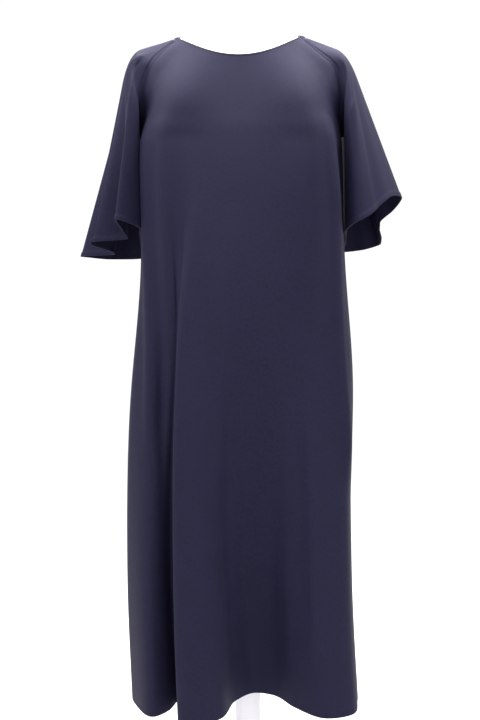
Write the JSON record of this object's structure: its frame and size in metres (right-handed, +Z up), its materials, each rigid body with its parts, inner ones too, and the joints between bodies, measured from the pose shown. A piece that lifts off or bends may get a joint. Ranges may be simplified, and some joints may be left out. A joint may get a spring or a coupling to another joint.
{
  "type": "shift dress on a limbless dress form",
  "caption": "Navy A-line midi shift dress with a wide round neck and elbow-length raglan flutter sleeves, worn by a white limbless dress form on a pole and round base.",
  "frame": {"origin": "centre of the base's underside, on the floor", "axes": "+Z up along the pole, +X towards the wearer's left sleeve, -Y towards the front of the dress"},
  "size_m": [0.6056, 0.4053, 1.47],
  "materials": {
    "crepe": "matt navy crepe with a faint purple cast",
    "binding": "matt navy, self-coloured bound edge",
    "form_cover": "matt white stretch cover",
    "white_enamel": "satin white"
  },
  "bodies": {
    "root": {"front_panel": "crepe", "back_panel": "crepe", "left_sleeve": "crepe", "right_sleeve": "crepe", "neck_edge": "binding", "form_torso": "form_cover", "form_pole": "white_enamel", "form_base": "white_enamel"}
  },
  "joints": []
}
